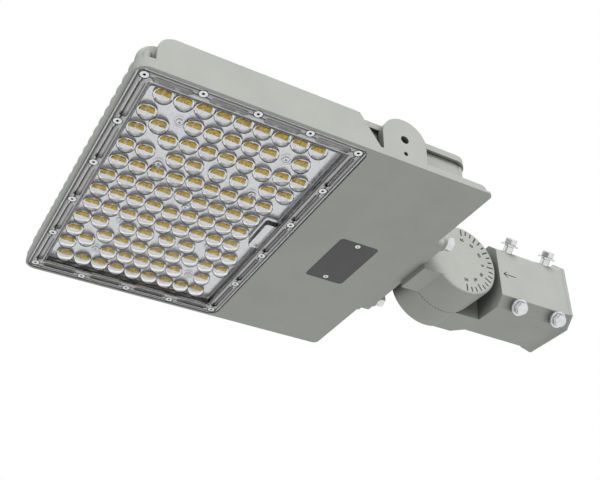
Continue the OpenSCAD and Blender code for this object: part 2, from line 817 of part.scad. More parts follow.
module board_connector() color([0.92, 0.92, 0.9]) on_head()
    translate([connector_x, -connector_w / 2, pocket_z]) cube([connector_l, connector_w, connector_h]);

module led_leads() color([0.7, 0.1, 0.1]) on_head()
    for (s = [-1, 1])
        translate([0, s * lead_y, lead_z]) rod_x(lead_r, connector_x + connector_l, driver_x);

module lead_grommet() color(black) on_head() translate([0, 0, lead_z]) difference() {
    union() {
        rod_x(grommet_r - run_gap, bay_x - grommet_lip, bay_x + bay_wall + run_gap);
        rod_x(grommet_r + grommet_lip, bay_x + bay_wall, bay_x + bay_wall + grommet_lip);
    }
    for (s = [-1, 1]) translate([0, s * lead_y, 0]) rod_x(lead_r + run_gap, bay_x - 2 * over, bay_step);
}

module led_driver() color([0.75, 0.76, 0.78]) on_head() translate([driver_x, 0, bay_floor]) difference() {
    case_l = driver_l - 2 * driver_foot_l;
    union() {
        along_y(-case_l / 2, case_l / 2)
            round_outline(box_points(0, driver_w, 0, driver_h), [0, 0, driver_edge_r, driver_edge_r]);
        translate([0, -driver_l / 2, driver_pad_h]) cube([driver_w, driver_l, driver_foot_t]);
    }
    for (s = [-1, 1]) for (x = [driver_hole_inset, driver_w - driver_hole_inset])
        translate([x, s * driver_screw_y, 0]) cylinder(r = driver_screw_r + clear_gap, h = driver_h);
}

module driver_screws() color(steel) on_head()
    for (s = [-1, 1]) for (x = [driver_hole_inset, driver_w - driver_hole_inset])
        translate([driver_x + x, s * driver_screw_y,
            bay_floor + driver_pad_h + driver_foot_t + driver_screw_head_h]) rotate([180, 0, 0])
            pan_screw(driver_screw_r, driver_screw_l - tip_gap, driver_screw_head_r, driver_screw_head_h,
                lens_socket_r, lens_socket_d);

module surge_protector() color([0.16, 0.2, 0.3]) on_head()
    translate([rear_row_x, -surge_y_share * bay_w, bay_floor]) linear_extrude(surge_h)
        round_outline(box_points(-surge_l / 2, surge_l / 2, -surge_w / 2, surge_w / 2),
            [surge_r, surge_r, surge_r, surge_r]);

module terminal_block() color([0.9, 0.9, 0.87]) on_head()
    translate([rear_row_x, block_y_share * bay_w, bay_floor]) difference() {
        translate([-block_l / 2, -block_w / 2, 0]) cube([block_l, block_w, block_h]);
        for (i = [-1:1])
            translate([0, i * block_w / 3, block_h - block_pole_d]) cylinder(r = block_pole_r, h = block_pole_d + over);
    }

module supply_grommet() color(black) on_head() translate([0, supply_y, duct_z]) difference() {
    union() {
        rod_x(supply_r - run_gap, bay_end - bay_wall - run_gap, bay_end + bay_wall);
        rod_x(supply_r + 2 * grommet_lip, bay_end - bay_wall - grommet_lip, bay_end - bay_wall);
    }
    rod_x(supply_r - bay_wall, bay_end - 2 * bay_wall, bay_end + 2 * bay_wall);
}

module access_cover() color(dark_grey) on_head() difference() {
    linear_extrude(access_t) access_plan(0, 0);
    for (s = [-1, 1]) translate([access_x, s * access_screw_y, -over]) {
        cylinder(r = access_screw_r + clear_gap, h = access_t + 2 * over);
        cylinder(r = access_screw_head_r + clear_gap, h = access_screw_head_h + over);
    }
}

module access_gasket() color(black) on_head() translate([0, 0, access_t]) difference() {
    linear_extrude(access_gasket_t) access_plan(0, 0);
    translate([0, 0, -over]) linear_extrude(access_gasket_t + 2 * over)
        access_plan(-access_lap_x, -access_lap_y);
    for (s = [-1, 1]) translate([access_x, s * access_screw_y, -over])
        cylinder(r = access_screw_r + clear_gap, h = access_gasket_t + 2 * over);
}

module access_screws() color(steel) on_head()
    for (s = [-1, 1]) translate([access_x, s * access_screw_y, 0])
        pan_screw(access_screw_r, access_screw_l, access_screw_head_r, access_screw_head_h, access_socket_r,
            access_socket_d);

module arm_gasket() color(black) on_head() difference() {
    along_x(head_l, head_l + arm_gasket_t)
        round_outline(box_points(-flange_w / 2, flange_w / 2, flange_z, flange_z + flange_h),
            [flange_r, flange_r, flange_r, flange_r]);
    translate([0, supply_y, duct_z]) rod_x(supply_r, head_l - over, head_l + arm_gasket_t + over);
    for (s = [-1, 1]) translate([0, s * flange_bolt_pitch / 2, bolt_z])
        rod_x(bolt_r + clear_gap, head_l - over, head_l + arm_gasket_t + over);
}

// A drum whose free edge is round: from its seam at z = 0 up to h
module drum(h) {
    rotate_extrude() round_outline(box_points(0, drum_r, 0, h), [0, 0, drum_edge_r, 0]);
}

// Radial notches in a seam face at height y, cut towards the side that dir names
module serration_cuts(y, dir) {
    reach = over * serration_w / serration_d / 2 + serration_w / 2;
    for (i = [0:serrations - 1]) rotate([0, i * 360 / serrations, 0])
        along_x(drum_r - serration_l, drum_r + over)
            polygon([[y + dir * serration_d, 0], [y - dir * over, reach], [y - dir * over, -reach]]);
}

module arm_profile() {
    foot_x = sqrt(pow(drum_r, 2) - pow(arm_drop, 2));
    shoulder = drum_r * sin(45);
    polygon([[-pivot_reach - over, -arm_drop], [-foot_x, -arm_drop], [0, 0], [-shoulder, shoulder],
        [-pivot_reach - over, head_z + flange_z + flange_h - flange_r]]);
}

module dial_cuts() {
    for (i = [0:dial_ticks]) {
        l = i % 3 == 0 ? tick_long : tick_short;
        rotate([0, 90 - i * tick_step, 0]) translate([tick_out_r - l, near_face - over, -tick_w / 2])
            cube([l, tick_d + over, tick_w]);
    }
}

module knuckle_arm() color(paint) at_pivot() difference() {
    union() {
        along_x(-pivot_reach - flange_t, -pivot_reach)
            round_outline(box_points(-flange_w / 2, flange_w / 2, head_z + flange_z, head_z + flange_z + flange_h),
                [flange_r, flange_r, flange_r, flange_r]);
        for (s = [-1, 1]) translate([0, s * flange_bolt_pitch / 2, head_z + bolt_z])
            rod_x(bolt_boss_r, -pivot_reach - over, -pivot_reach + bolt_boss_h);
        along_y(near_face, near_seam) arm_profile();
        translate([0, near_seam, 0]) rotate([90, 0, 0]) drum(near_seam - near_face);
    }
    difference() {
        rod_y(drum_hollow_r, near_face + near_wall, near_seam + over);
        rod_y(hub_r, near_face, near_seam + 2 * over);
    }
    rod_y(pivot_r + thread_gap, near_face + pivot_tip_wall, near_seam + over);
    translate([0, supply_y, head_z + duct_z])
        rod_x(supply_r, -pivot_reach - flange_t - over, -drum_hollow_r + 2 * over);
    for (s = [-1, 1]) translate([0, s * flange_bolt_pitch / 2, head_z + bolt_z])
        rod_x(bolt_r + clear_gap, -pivot_reach - flange_t - over, -pivot_reach + bolt_boss_h + over);
    serration_cuts(near_seam, -1);
    dial_cuts();
}

module arm_bolt_places() {
    for (s = [-1, 1])
        translate([pivot_x - pivot_reach + bolt_boss_h, s * flange_bolt_pitch / 2, head_z + bolt_z]) children();
}

module arm_washers() color(steel) arm_bolt_places() ring_x(bolt_r + clear_gap, washer_r, washer_t);

module arm_spring_washers() color(steel) arm_bolt_places() translate([washer_t, 0, 0]) difference() {
    ring_x(bolt_r + clear_gap, spring_r, spring_t);
    translate([-over, 0, -spring_slit / 2]) cube([spring_t + 2 * over, spring_r + over, spring_slit]);
}

module arm_bolts() color(steel) arm_bolt_places() translate([washer_t + spring_t, 0, 0]) {
    rod_x(bolt_r, -bolt_l, 0);
    rotate([0, 90, 0]) cylinder(r = hex_r(bolt_head_af), h = bolt_head_h, $fn = 6);
}

// Outline of the tube in Y and Z, grown all round
module tube_outline(grow) {
    w = tube_w / 2 + grow;
    h = tube_h / 2 + grow;
    b = tube_bevel + grow * (2 - sqrt(2));
    polygon([[-w, b - h], [b - w, -h], [w - b, -h], [w, b - h], [w, h - b], [w - b, h], [b - w, h], [-w, h - b]]);
}

// Axis of one set bolt: +Z here points out of the tube, square to a bevel on the near side
module on_bevel(place) {
    translate([place[0], 0, 0]) rotate([place[1], 0, 0]) children();
}

module pointer() {
    translate([arrow_inset - tube_l, -tube_w / 2 - over, -arrow_drop]) {
        translate([0, 0, -arrow_w / 2]) cube([arrow_l, arrow_d + over, arrow_w]);
        for (a = [-arrow_angle, arrow_angle]) rotate([0, a, 0]) translate([0, 0, -arrow_w / 2])
            cube([arrow_head_l, arrow_d + over, arrow_w]);
    }
}

// Neck from the drum to the tube, on the far side of the seam
module neck() {
    neck_end = over - tube_l;
    side_h = tube_h / 2 - tube_bevel;
    translate([0, 0, -tube_h / 2]) linear_extrude(tube_h)
        polygon([[pivot_x, far_seam], [neck_end, far_seam], [neck_end, half_w - tube_bevel],
            [-tube_l, half_w - tube_bevel], [-tube_l - neck_bevel_l, half_w], [pivot_x, half_w]]);
    along_y(far_seam, half_w) polygon(box_points(pivot_x, neck_end, -side_h, side_h));
}

module slip_fitter() color(paint) difference() {
    union() {
        at_pivot() translate([0, far_seam, 0]) rotate([-90, 0, 0]) drum(half_w - far_seam);
        neck();
        along_x(-tube_l, 0) tube_outline(0);
        along_x(-lip_t, 0) tube_outline(lip);
        for (i = [0:len(lip_steps) - 2]) hull() {
            along_x(lip_steps[i][0] - lip_face, lip_steps[i][0]) tube_outline(lip_steps[i][1]);
            along_x(lip_steps[i + 1][0] - lip_face, lip_steps[i + 1][0]) tube_outline(lip_steps[i + 1][1]);
        }
    }
    rod_x(socket_r, tube_end - tube_l, over);
    at_pivot() {
        difference() {
            rod_y(drum_hollow_r, far_seam - over, half_w - far_wall);
            rod_y(hub_r, far_seam - 2 * over, half_w);
        }
        rod_y(pivot_r + run_gap, far_seam - over, half_w);
        rod_y(pivot_washer_r + seat_gap, half_w - pivot_recess, half_w + over);
        serration_cuts(far_seam, 1);
    }
    translate([0, (far_seam + half_w - far_wall) / 2, 0])
        rod_x(duct_r, pivot_x + drum_hollow_r - 2 * over, tube_end - tube_l + over);
    for (place = set_places) on_bevel(place) cylinder(r = set_r + run_gap, h = bevel_reach + over);
    pointer();
}

module pivot_bolt() color(steel) at_pivot() {
    head_y = half_w - pivot_recess + pivot_washer_t + pivot_spring_t + run_gap;
    rod_y(pivot_r, near_face + pivot_tip_wall + tip_gap, head_y + over);
    translate([0, head_y, 0]) rotate([-90, 0, 0]) cylinder(r = hex_r(pivot_head_af), h = pivot_head_h, $fn = 6);
}

module pivot_ring(r, y, t) {
    difference() {
        rod_y(r, y, y + t);
        rod_y(pivot_r + clear_gap, y - over, y + t + over);
    }
}

module pivot_washer() color(steel) at_pivot() pivot_ring(pivot_washer_r, half_w - pivot_recess, pivot_washer_t);

module pivot_spring_washer() color(steel) at_pivot() difference() {
    y = half_w - pivot_recess + pivot_washer_t;
    pivot_ring(pivot_spring_r, y, pivot_spring_t);
    translate([0, y - over, -spring_slit / 2]) cube([pivot_spring_r + over, pivot_spring_t + 2 * over, spring_slit]);
}

module set_bolt(place) color(steel) on_bevel(place) {
    tip = socket_r + set_tip_gap;
    grip_l = set_collar_t + set_head_h;
    face_r = hex_r(set_head_af) - set_chamfer;
    translate([0, 0, tip]) cylinder(r = set_r, h = set_foot - tip + over);
    translate([0, 0, set_foot]) cylinder(r = set_collar_r, h = set_collar_t);
    translate([0, 0, set_foot]) intersection() {
        cylinder(r = hex_r(set_head_af), h = grip_l, $fn = 6);
        cylinder(r1 = face_r + grip_l, r2 = face_r, h = grip_l);
    }
}

module set_bolt_1() set_bolt(set_places[0]);
module set_bolt_2() set_bolt(set_places[1]);
module set_bolt_3() set_bolt(set_places[2]);
module set_bolt_4() set_bolt(set_places[3]);

heatsink_housing();
driver_lid();
lid_gasket();
lid_screws();
lens_plate();
lens_gasket();
lens_screws();
led_board();
led_chips();
board_screws();
board_connector();
led_leads();
lead_grommet();
led_driver();
driver_screws();
surge_protector();
terminal_block();
supply_grommet();
access_cover();
access_gasket();
access_screws();
arm_gasket();
knuckle_arm();
arm_bolts();
arm_washers();
arm_spring_washers();
slip_fitter();
pivot_bolt();
pivot_washer();
pivot_spring_washer();
set_bolt_1();
set_bolt_2();
set_bolt_3();
set_bolt_4();
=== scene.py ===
"""LED street light: finishes, dial numbers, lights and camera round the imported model."""
import json
import math

import bpy
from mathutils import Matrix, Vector


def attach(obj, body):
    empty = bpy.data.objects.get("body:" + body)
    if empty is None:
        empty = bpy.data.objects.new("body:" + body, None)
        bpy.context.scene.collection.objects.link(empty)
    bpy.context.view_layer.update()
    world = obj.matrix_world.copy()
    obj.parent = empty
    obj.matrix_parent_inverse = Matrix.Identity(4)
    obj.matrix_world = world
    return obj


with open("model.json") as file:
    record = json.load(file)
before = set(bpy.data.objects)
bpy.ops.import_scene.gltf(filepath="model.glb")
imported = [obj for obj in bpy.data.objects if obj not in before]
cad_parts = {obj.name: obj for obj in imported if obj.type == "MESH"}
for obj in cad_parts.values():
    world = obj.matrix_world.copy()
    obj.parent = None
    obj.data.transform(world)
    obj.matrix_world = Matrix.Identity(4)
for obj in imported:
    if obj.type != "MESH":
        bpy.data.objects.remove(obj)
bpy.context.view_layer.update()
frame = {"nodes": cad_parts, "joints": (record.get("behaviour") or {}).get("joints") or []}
MM = 0.001

# Camera, as solved from the photograph's grid of cover screws
CAMERA_PLACE = Vector((-661.4, -635.6, -510.3)) * MM
CAMERA_AIM = Vector((0.4004, 0.7202, 0.5665))
FOCAL_PIXELS = 912.25
PICTURE_WIDTH = 600
SENSOR = 36.0
CLIP_START = 0.05
CLIP_END = 50.0

# Finish colours, linear; a pair is what a noise goes between
PAINT = (0.500, 0.519, 0.482)
PAINT_WORN = (0.56, 0.58, 0.54)
PAINT_DULL = (0.46, 0.478, 0.444)
# Painted shade in the paint's corners: the colour it darkens to
PAINT_SHADE = (0.10, 0.10, 0.095)
DARK_PAINT = ((0.098, 0.096, 0.098), (0.112, 0.110, 0.112))
DARK_PAINT_WORN = (0.24, 0.24, 0.24)
STEEL_HAZE = ((0.80, 0.81, 0.82), (0.98, 0.985, 0.99))
# Painted shade in the steel's own corners: the colour it darkens to
STEEL_SHADE = (0.05, 0.05, 0.052)
MASK_PALE = (0.90, 0.905, 0.93)
MASK_DULL = (0.88, 0.885, 0.91)
MASK_TRACK = (0.82, 0.825, 0.85)
PHOSPHOR = ((0.40, 0.23, 0.005), (0.95, 0.64, 0.02))
RUBBER = ((0.52, 0.525, 0.525), (0.60, 0.605, 0.605))
NYLON = ((0.72, 0.72, 0.69), (0.80, 0.80, 0.77))
SURGE_CASE = ((0.018, 0.026, 0.055), (0.03, 0.04, 0.08))
LEAD_SLEEVE = ((0.36, 0.02, 0.015), (0.46, 0.035, 0.025))
DRIVER_CAN = ((0.60, 0.61, 0.63), (0.74, 0.75, 0.77))
# Painted shade: the dark fill of the dial's numbers and engraved marks
ENGRAVING_SHADE_GREYS = ((0.045, 0.05, 0.045), (0.075, 0.08, 0.075))
WHITE = (1.0, 1.0, 1.0)

# The middle of a noise's range, where most of its values lie
MIDDLE = (0.3, 0.7)

# Painted shade in corners: how far off a face still closes a corner in paint and in steel, how
# light paint stays in one, and the ambient occlusion that counts as closed and as open
CREASE_REACH = 26 * MM
STEEL_CREASE_REACH = 2.5 * MM
CREASE_SHADE = 0.1
CREASE_RANGE = (0.26, 0.84)
CREASE_SAMPLES = 8

# Worn edges: the cosine between the true and the rounded normal, on the edge and beside it
EDGE_RANGE = (0.86, 0.995)
EDGE_SAMPLES = 6

# Steel's tint seen straight on, its painted dark reflection at a grazing angle, and where it falls
# off
STEEL_FACING = (0.93, 0.94, 0.95)
STEEL_DARK_REFLECTION = (0.34, 0.345, 0.35)
STEEL_FALLOFF = (0.42, 0.80)

# Clear plastic: its tint seen straight on and its painted shade edge on, and where it falls off
CLEAR = (0.985, 0.988, 0.99)
CLEAR_EDGE_SHADE = (0.10, 0.105, 0.11)
CLEAR_FALLOFF = (0.60, 0.92)
CLEAR_IOR = 1.58

# Painted shade: a dark outline of a dome, standing for the dark rim that refraction shows: its
# colour, its greatest share and the range of glance where it comes in
DOME_OUTLINE_SHADE = (0.03, 0.03, 0.03)
OUTLINE_MOST = 0.95
OUTLINE_RANGE = (0.57, 0.75)

# Clear gel fills the hollows over the chips: faces down to this depth below the plate's upper face
# are see-through, but for the upper face itself
GEL_DEPTH = 1.35 * MM
FACE_SKIN = 0.03 * MM

# Painted highlights and painted shade: light and dark bands that stand for the lines the fine
# ridges of the plate's frame show: millimetres from the frame's edge, how light the band is there,
# and how much of the clear plastic it covers
PAINTED_RIDGE_LINES = ((0.0, 0.03, 0.6), (0.8, 0.5, 0.2), (1.4, 1.0, 0.9), (2.0, 0.5, 0.3), (2.9, 0.02, 0.8),
          (3.9, 0.5, 0.45), (4.9, 0.66, 0.65), (5.8, 0.5, 0.5), (6.5, 1.0, 0.8), (7.2, 0.2, 0.6),
          (8.0, 0.02, 0.7), (8.9, 0.5, 0.5), (10.0, 0.66, 0.68), (12.6, 0.62, 0.65),
          (13.4, 0.3, 0.5), (14.2, 0.02, 0.85), (15.0, 0.5, 0.35), (15.6, 0.5, 0.0))
RIDGE_SPAN = 16.0 * MM
RIDGE_ROUGHNESS = 0.3

# Near face of the drum's dial and of the tube
NEAR_FACE = -37.3 * MM

# Dial on the arm's near face: numbers every 30 degrees, ticks every 10 and every third tick long
DIAL_TOP = 90
DIAL_NUMBERS = (90, 60, 30, 0, 30, 60, 90)
DIAL_STEP = 30
DIAL_NUMBER_R = 23.6 * MM
DIAL_NUMBER_SIZE = 4.8 * MM
DIAL_RAISE = 0.12 * MM
DIAL_STROKE = 0.12 * MM
TICKS = 18
TICK_STEP = 10
TICK_LONG_EVERY = 3
TICK_OUT_R = 37.0 * MM
TICK_LONG = 8.0 * MM
TICK_SHORT = 5.4 * MM
TICK_WIDTH = 1.4 * MM

# Engraved arrow on the tube's near face
ARROW_TIP = Vector((-86.0, 0.0, -1.2)) * MM
ARROW_LENGTH = 15.9 * MM
ARROW_BARB = 4.2 * MM
ARROW_ANGLE = 35
ARROW_WIDTH = 0.6 * MM

# Painted shade in an engraved line: a dark fill on the line's floor stands for the shade in it; the
# floor is GROOVE deep, and the next number is the fill's thickness
GROOVE = 0.5 * MM
SHADE_FILL_DEPTH = 0.25 * MM
BOX_FACES = ((0, 1, 2, 3), (7, 6, 5, 4), (0, 4, 5, 1), (1, 5, 6, 2), (2, 6, 7, 3), (3, 7, 4, 0))

# Sky: its strength on the object, in reflections, and to the eye and through the clear plastic
SKY = 0.26
SKY_IN_GLOSS = 0.85
SKY_SEEN = 1.0

# Key lamp: a broad sun
KEY_ENERGY = 2.85
KEY_ANGLE = 40
KEY_TRAVEL = Vector((0.12, 0.7, -0.7))

# Floor: pale, lifted to white for the eye
FLOOR_LOW = (0.57, 0.57, 0.57)
FLOOR_HIGH = (0.61, 0.61, 0.61)
FLOOR_ROUGHNESS = 0.9
FLOOR_LIFT = 0.52
FLOOR_SIZE = 12.0
FLOOR_PLACE = (-0.25, 0.0, -1.35)


def feed(tree, socket, source):
    """Feeds a socket with another node's output, a number or a colour."""
    if isinstance(source, bpy.types.NodeSocket):
        tree.links.new(source, socket)
    elif socket.type == "RGBA":
        socket.default_value = (*source, 1.0)
    else:
        socket.default_value = source


def node(tree, kind, sources):
    """A new node, with its named or numbered sockets fed."""
    made = tree.nodes.new("ShaderNode" + kind)
    for key, source in sources.items():
        feed(tree, made.inputs[key], source)
    return made


def material(name):
    """A new node material with its Principled shader and its Object coordinates."""
    made = bpy.data.materials.new(name)
    made.use_nodes = True
    tree = made.node_tree
    place = node(tree, "TexCoord", {}).outputs["Object"]
    return made, tree, tree.nodes["Principled BSDF"], place


def finish(tree, shader, colour, roughness, normal):
    """Links the three sockets that every finish feeds."""
    for name, source in (("Base Color", colour), ("Roughness", roughness), ("Normal", normal)):
        tree.links.new(source, shader.inputs[name])


def show(tree, shader):
    """Puts a shader on the material's surface."""
    tree.links.new(shader, tree.nodes["Material Output"].inputs["Surface"])


def noise(tree, place, scale, detail=3.0, rough=0.55):
    """A noise value over the surface; scale is in waves per metre."""
    sources = {"Vector": place, "Scale": scale, "Detail": detail, "Roughness": rough}
    return node(tree, "TexNoise", sources).outputs["Fac"]


def ramp(tree, value, low, high, start=0.0, end=1.0):
    """The colour between low and high, as value goes from start to end."""
    made = node(tree, "ValToRGB", {"Fac": value})
    first, last = made.color_ramp.elements
    first.position, last.position = start, end
    first.color, last.color = (*low, 1.0), (*high, 1.0)
    return made.outputs["Color"]


def bands(tree, distance, stops, reach):
    """The grey and cover at a distance up to reach, from stops of millimetres, grey and cover."""
    made = node(tree, "ValToRGB", {"Fac": span(tree, distance, 0.0, 1.0, end=reach)})
    elements = made.color_ramp.elements
    elements.remove(elements[-1])
    for number, (millimetres, grey, cover) in enumerate(stops):
        element = elements[0] if number == 0 else elements.new(millimetres * MM / reach)
        element.position, element.color = millimetres * MM / reach, (grey, grey, grey, cover)
    return made.outputs["Color"], made.outputs["Alpha"]


def span(tree, value, low, high, start=0.0, end=1.0):
    """value from start to end, mapped to low to high."""
    sources = {"Value": value, "From Min": start, "From Max": end, "To Min": low, "To Max": high}
    return node(tree, "MapRange", sources).outputs["Result"]


def math_node(tree, operation, *values):
    """A math node's result for one or two sockets or numbers."""
    made = node(tree, "Math", dict(enumerate(values)))
    made.operation = operation
    return made.outputs["Value"]


def blend(tree, factor, first, second, kind="MIX"):
    """A colour mixed from two by a factor."""
    made = tree.nodes.new("ShaderNodeMix")
    made.data_type, made.blend_type = "RGBA", kind
    colours = [socket for socket in made.inputs if socket.type == "RGBA"]
    for socket, source in zip((made.inputs["Factor"], *colours), (factor, first, second)):
        feed(tree, socket, source)
    return next(socket for socket in made.outputs if socket.type == "RGBA")


def mixed(tree, factor, first, second):
    """A shader mixed from two by a factor."""
    return node(tree, "MixShader", {0: factor, 1: first, 2: second}).outputs["Shader"]


def soft_edges(tree, radius):
    """The normal as if every edge were rounded by radius."""
    made = node(tree, "Bevel", {"Radius": radius})
    made.samples = EDGE_SAMPLES
    return made.outputs["Normal"]


def edge_mask(tree, normal):
    """1 beside an edge and 0 away from it, from a rounded normal."""
    flat = node(tree, "NewGeometry", {}).outputs["Normal"]
    cosine = node(tree, "VectorMath", {0: flat, 1: normal})
    cosine.operation = "DOT_PRODUCT"
    return span(tree, cosine.outputs["Value"], 1.0, 0.0, *EDGE_RANGE)


def bump(tree, height, depth, strength, normal=None):
    """A normal with the bumps that height gives, depth metres deep."""
    sources = {"Strength": strength, "Distance": depth, "Height": height}
    if normal is not None:
        sources["Normal"] = normal
    return node(tree, "Bump", sources).outputs["Normal"]


def creases(tree, reach, darkest, own=False):
    """Painted shade by ambient occlusion: 1 in the open, down to darkest in corners within reach;
    own leaves other pieces out.
    """
    made = node(tree, "AmbientOcclusion", {"Distance": reach})
    made.samples = CREASE_SAMPLES
    made.only_local = own
    return span(tree, made.outputs["AO"], darkest, 1.0, *CREASE_RANGE)


def glance(tree, normal=None):
    """0 on a face seen straight on, rising to 1 on one seen edge on."""
    sources = {"Blend": 0.5} if normal is None else {"Blend": 0.5, "Normal": normal}
    return node(tree, "LayerWeight", sources).outputs["Facing"]


def edge_distance(tree, axes, low, high):
    """The distance in metres to the nearest side of a level box."""
    sides = []
    for axis, start, end in zip("XY", low, high):
        off = math_node(tree, "SUBTRACT", axes.outputs[axis], (start + end) / 2)
        off = math_node(tree, "ABSOLUTE", off)
        sides.append(math_node(tree, "SUBTRACT", (end - start) / 2, off))
    return math_node(tree, "MINIMUM", *sides)


def cast_paint():
    """Light grey powder coat on a die casting: grain, faint clouds, worn edges, painted shade in
    corners.
    """
    made, tree, shader, place = material("cast_paint")
    grain = noise(tree, place, scale=1100, detail=4.0, rough=0.6)
    clouds = noise(tree, place, scale=26)
    rounded = soft_edges(tree, 0.9 * MM)
    colour = ramp(tree, clouds, PAINT_DULL, PAINT, start=0.25, end=0.62)
    specks = span(tree, grain, low=0.0, high=0.22, start=0.48, end=0.78)
    colour = blend(tree, specks, colour, PAINT_WORN)
    worn = span(tree, edge_mask(tree, rounded), low=0.0, high=0.55)
    colour = blend(tree, worn, colour, PAINT_WORN)
    # Painted shade: the paint darkens in corners, by ambient occlusion
    colour = blend(tree, creases(tree, CREASE_REACH, CREASE_SHADE), PAINT_SHADE, colour)
    finish(tree, shader, colour, span(tree, grain, 0.42, 0.62, *MIDDLE),
           bump(tree, grain, depth=0.10 * MM, strength=0.55, normal=rounded))
    return made


def dark_paint():
    """Dark grey satin paint on the pressed access cover."""
    made, tree, shader, place = material("cover_grey")
    grain = noise(tree, place, scale=900)
    clouds = noise(tree, place, scale=60, detail=2.0)
    rounded = soft_edges(tree, 0.35 * MM)
    colour = ramp(tree, clouds, *DARK_PAINT, *MIDDLE)
    worn = span(tree, edge_mask(tree, rounded), low=0.0, high=0.5)
    colour = blend(tree, worn, colour, DARK_PAINT_WORN)
    finish(tree, shader, colour, span(tree, grain, 0.38, 0.55, *MIDDLE),
           bump(tree, grain, depth=0.06 * MM, strength=0.4, normal=rounded))
    return made


def bright_steel():
    """Bright stainless fasteners with faint turning marks, a painted dark reflection towards
    grazing angles and painted shade in their own corners.
    """
    made, tree, shader, place = material("bright_steel")
    marks = noise(tree, place, scale=2200, detail=2.0)
    haze = noise(tree, place, scale=240, detail=2.0)
    rounded = soft_edges(tree, 0.3 * MM)
    shader.inputs["Metallic"].default_value = 1.0
    # Painted reflection: the tint darkens towards grazing angles, standing for dark surroundings
    # reflected there
    falloff = ramp(tree, glance(tree, rounded), STEEL_FACING, STEEL_DARK_REFLECTION, *STEEL_FALLOFF)
    colour = blend(tree, 1.0, falloff, ramp(tree, haze, *STEEL_HAZE, *MIDDLE), kind="MULTIPLY")
    # Painted shade: the steel darkens in its own corners, by ambient occlusion
    corners = creases(tree, STEEL_CREASE_REACH, 0.0, own=True)
    colour = blend(tree, corners, STEEL_SHADE, colour)
    finish(tree, shader, colour, span(tree, haze, 0.10, 0.24, *MIDDLE),
           bump(tree, marks, depth=0.02 * MM, strength=0.25, normal=rounded))
    return made


def clear_cover(low, high):
    """Clear moulded polycarbonate between two corners, its hollows filled, lit through by lamps;
    its tint darkening edge on, a dark outline on the domes and light and dark bands round the frame
    are painted shade and painted highlights.
    """
    made, tree, shader, place = material("clear_cover")
    flow = noise(tree, place, scale=90, detail=2.0)
    facing = glance(tree)
    shader.inputs["Transmission Weight"].default_value = 1.0
    shader.inputs["IOR"].default_value = CLEAR_IOR
    # Painted shade: the clear tint darkens towards grazing angles
    finish(tree, shader, ramp(tree, facing, CLEAR, CLEAR_EDGE_SHADE, *CLEAR_FALLOFF),
           span(tree, flow, low=0.0, high=0.03, start=0.35, end=0.75),
           bump(tree, flow, depth=0.05 * MM, strength=0.12))
    # Painted shade: dark matt plastic mixed in on the domes' steep faces, standing for the dark rim
    # refraction shows there
    dark = node(tree, "BsdfDiffuse", {"Color": DOME_OUTLINE_SHADE}).outputs["BSDF"]
    outline = span(tree, facing, 0.0, OUTLINE_MOST, *OUTLINE_RANGE)
    surface = mixed(tree, outline, shader.outputs["BSDF"], dark)
    axes = node(tree, "SeparateXYZ", {"Vector": place})
    # Painted highlights and painted shade: light and dark bands round the frame's edge stand for
    # the lines its fine ridges show
    grey, cover = bands(tree, edge_distance(tree, axes, low, high), PAINTED_RIDGE_LINES, RIDGE_SPAN)
    ridge_light_and_shade = node(tree, "BsdfAnisotropic", {"Color": grey, "Roughness": RIDGE_ROUGHNESS})
    surface = mixed(tree, cover, surface, ridge_light_and_shade.outputs["BSDF"])
    above = math_node(tree, "GREATER_THAN", axes.outputs["Z"], high.z - GEL_DEPTH)
    below = math_node(tree, "LESS_THAN", axes.outputs["Z"], high.z - FACE_SKIN)
    filled = math_node(tree, "MULTIPLY", above, below)
    shadow = node(tree, "LightPath", {}).outputs["Is Shadow Ray"]
    through = node(tree, "BsdfTransparent", {"Color": WHITE}).outputs["BSDF"]
    show(tree, mixed(tree, math_node(tree, "MAXIMUM", shadow, filled), surface, through))
    return made


def solder_mask():
    """White glossy solder mask on metal, with the copper tracks showing faintly through it."""
    made, tree, shader, place = material("solder_mask")
    tracks = node(tree, "TexBrick", {
        "Vector": place, "Scale": 58.0, "Mortar Size": 0.018,
        "Color1": MASK_PALE, "Color2": MASK_DULL, "Mortar": MASK_TRACK})
    fine = noise(tree, place, scale=700)
    shader.inputs["Metallic"].default_value = 0.8
    finish(tree, shader, tracks.outputs["Color"], span(tree, fine, 0.16, 0.28, *MIDDLE),
           bump(tree, tracks.outputs["Fac"], depth=0.03 * MM, strength=0.25))
    return made


def phosphor():
    """Yellow phosphor of the chips, a little uneven."""
    made, tree, shader, place = material("phosphor")
    mottle = noise(tree, place, scale=620)
    finish(tree, shader, ramp(tree, mottle, *PHOSPHOR, start=0.34, end=0.6),
           span(tree, mottle, low=0.25, high=0.45),
           bump(tree, mottle, depth=0.08 * MM, strength=0.3))
    return made


def rubber():
    """Matt light grey silicone."""
    made, tree, shader, place = material("seal_rubber")
    grain = noise(tree, place, scale=1500)
    finish(tree, shader, ramp(tree, grain, *RUBBER, *MIDDLE),
           span(tree, grain, low=0.6, high=0.8), bump(tree, grain, depth=0.05 * MM, strength=0.4))
    return made


def moulded(name, colours):
    """A moulded plastic with a fine spark texture."""
    made, tree, shader, place = material(name)
    grain = noise(tree, place, scale=1400)
    rounded = soft_edges(tree, 0.4 * MM)
    finish(tree, shader, ramp(tree, grain, *colours, start=0.35, end=0.65),
           span(tree, grain, low=0.35, high=0.55),
           bump(tree, grain, depth=0.05 * MM, strength=0.4, normal=rounded))
    return made


